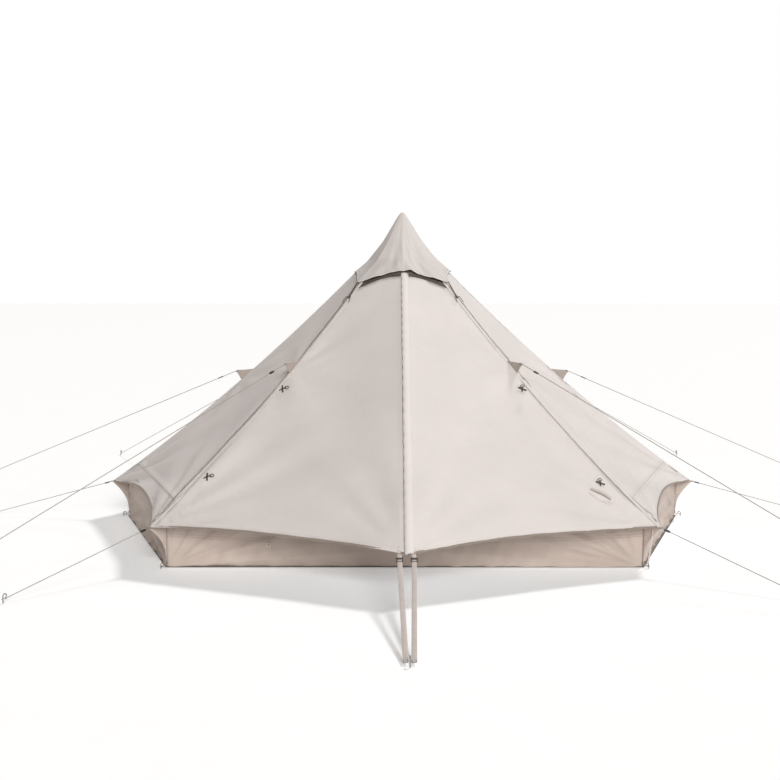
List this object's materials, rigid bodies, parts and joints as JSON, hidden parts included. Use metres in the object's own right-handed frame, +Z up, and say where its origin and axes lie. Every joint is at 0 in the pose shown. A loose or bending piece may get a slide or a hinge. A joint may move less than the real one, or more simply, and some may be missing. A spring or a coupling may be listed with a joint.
{
  "type": "teepee tent",
  "caption": "Pyramid canvas tent on a centre pole, with low walls, a peak cap, two opening front panels, ground sheet and guy lines.",
  "frame": {"origin": "on the ground under the apex, at the middle of the eave octagon", "axes": "+Z up, the doors face -Y, +X is the right-hand side seen from the front"},
  "size_m": [7.8476, 6.3576, 2.342],
  "materials": {
    "canvas": "heavy cotton and polyester canvas, matt, cream",
    "mesh": "dark brown insect mesh",
    "groundsheet": "coated woven ground sheet, satin",
    "webbing": "woven polyester webbing",
    "cord": "braided polyester guy cord",
    "steel": "galvanised steel tube and pegs",
    "zip_metal": "antique nickel zip slider",
    "plastic": "dark brown moulded nylon",
    "rubber": "black rubber foot"
  },
  "bodies": {
    "shelter": {"eave_line_front_left": "cord", "eave_line_front_right": "cord", "eave_line_left": "cord", "eave_line_rear": "cord", "eave_line_rear_left": "cord", "eave_line_rear_right": "cord", "eave_line_right": "cord", "front_peg": "steel", "front_sill": "canvas", "groundsheet": "groundsheet", "guy_line_front_left": "cord", "guy_line_front_right": "cord", "guy_line_left": "cord", "guy_line_rear": "cord", "guy_line_rear_left": "cord", "guy_line_rear_right": "cord", "guy_line_right": "cord", "guy_peg_front_left": "steel", "guy_peg_front_right": "steel", "guy_peg_left": "steel", "guy_peg_rear": "steel", "guy_peg_rear_left": "steel", "guy_peg_rear_right": "steel", "guy_peg_right": "steel", "inner_front_wall": "canvas", "panel_left_front": "canvas", "panel_left_rear": "canvas", "panel_rear_left": "canvas", "panel_rear_right": "canvas", "panel_right_front": "canvas", "panel_right_rear": "canvas", "peak_cap": "canvas", "pole_crown": "plastic", "pole_foot": "rubber", "pole_lower": "steel", "pole_upper": "steel", "vent_left": "mesh", "vent_right": "mesh", "wall_left_front": "canvas", "wall_left_rear": "canvas", "wall_rear_left": "canvas", "wall_rear_right": "canvas", "wall_right_front": "canvas", "wall_right_rear": "canvas"},
    "door_left": {"door_left": "canvas", "buckle_left": "plastic"},
    "strap_left": {"strap_left": "webbing"},
    "door_right": {"door_right": "canvas", "buckle_right": "plastic"},
    "strap_right": {"strap_right": "webbing"},
    "zip_slider": {"zip_slider": "zip_metal"},
    "inner_door_left": {"inner_door_left": "mesh"},
    "inner_door_right": {"inner_door_right": "mesh"},
    "tensioner_front_left": {"guy_tensioner_front_left": "plastic"},
    "tensioner_left": {"guy_tensioner_left": "plastic"},
    "tensioner_rear_left": {"guy_tensioner_rear_left": "plastic"},
    "tensioner_rear": {"guy_tensioner_rear": "plastic"},
    "tensioner_rear_right": {"guy_tensioner_rear_right": "plastic"},
    "tensioner_right": {"guy_tensioner_right": "plastic"},
    "tensioner_front_right": {"guy_tensioner_front_right": "plastic"}
  },
  "joints": [
    {"name": "door_left_hinge", "type": "hinge", "parent": "shelter", "child": "door_left", "pos_m": [-0.24749, -0.24749, 1.897], "axis": [-0.5379, -0.5379, -0.649], "range_deg": [0, 90]},
    {"name": "strap_left_swing", "type": "hinge", "parent": "door_left", "child": "strap_left", "pos_m": [-0.04045, -2.28118, 0.25356], "axis": [0.457, 0.2298, -0.8593], "range_deg": [0, 96.6]},
    {"name": "door_right_hinge", "type": "hinge", "parent": "shelter", "child": "door_right", "pos_m": [0.24749, -0.24749, 1.897], "axis": [-0.5379, 0.5379, 0.649], "range_deg": [0, 90]},
    {"name": "strap_right_swing", "type": "hinge", "parent": "door_right", "child": "strap_right", "pos_m": [0.04045, -2.28118, 0.25356], "axis": [0.457, -0.2298, 0.8593], "range_deg": [0, 96.6]},
    {"name": "zip_slider_travel", "type": "slide", "parent": "door_right", "child": "zip_slider", "axis": [0, 0.7608, 0.649], "range_m": [0, 2.25]},
    {"name": "inner_door_left_hinge", "type": "hinge", "parent": "shelter", "child": "inner_door_left", "pos_m": [-0.522, -1.46601, 0.3611], "axis": [0.2203, 0.6293, 0.7453], "range_deg": [0, 80]},
    {"name": "inner_door_right_hinge", "type": "hinge", "parent": "shelter", "child": "inner_door_right", "pos_m": [0.522, -1.46601, 0.3611], "axis": [0.2203, -0.6293, -0.7453], "range_deg": [0, 80]},
    {"name": "tensioner_front_left_slide", "type": "slide", "parent": "shelter", "child": "tensioner_front_left", "axis": [-0.65, -0.65, -0.3938], "range_m": [0, 0.9]},
    {"name": "tensioner_left_slide", "type": "slide", "parent": "shelter", "child": "tensioner_left", "axis": [-0.9241, 0, -0.3821], "range_m": [0, 0.9]},
    {"name": "tensioner_rear_left_slide", "type": "slide", "parent": "shelter", "child": "tensioner_rear_left", "axis": [-0.6571, 0.6571, -0.3695], "range_m": [0, 0.9]},
    {"name": "tensioner_rear_slide", "type": "slide", "parent": "shelter", "child": "tensioner_rear", "axis": [0, 0.8539, -0.5204], "range_m": [0, 0.9]},
    {"name": "tensioner_rear_right_slide", "type": "slide", "parent": "shelter", "child": "tensioner_rear_right", "axis": [0.6571, 0.6571, -0.3695], "range_m": [0, 0.9]},
    {"name": "tensioner_right_slide", "type": "slide", "parent": "shelter", "child": "tensioner_right", "axis": [0.9183, 0, -0.3959], "range_m": [0, 0.9]},
    {"name": "tensioner_front_right_slide", "type": "slide", "parent": "shelter", "child": "tensioner_front_right", "axis": [0.65, -0.65, -0.3938], "range_m": [0, 0.9]}
  ],
  "couplings": [
    {"joint": "strap_left_swing", "follows": "door_left_hinge", "ratio": 1.0621},
    {"joint": "strap_right_swing", "follows": "door_right_hinge", "ratio": 1.0621}
  ]
}
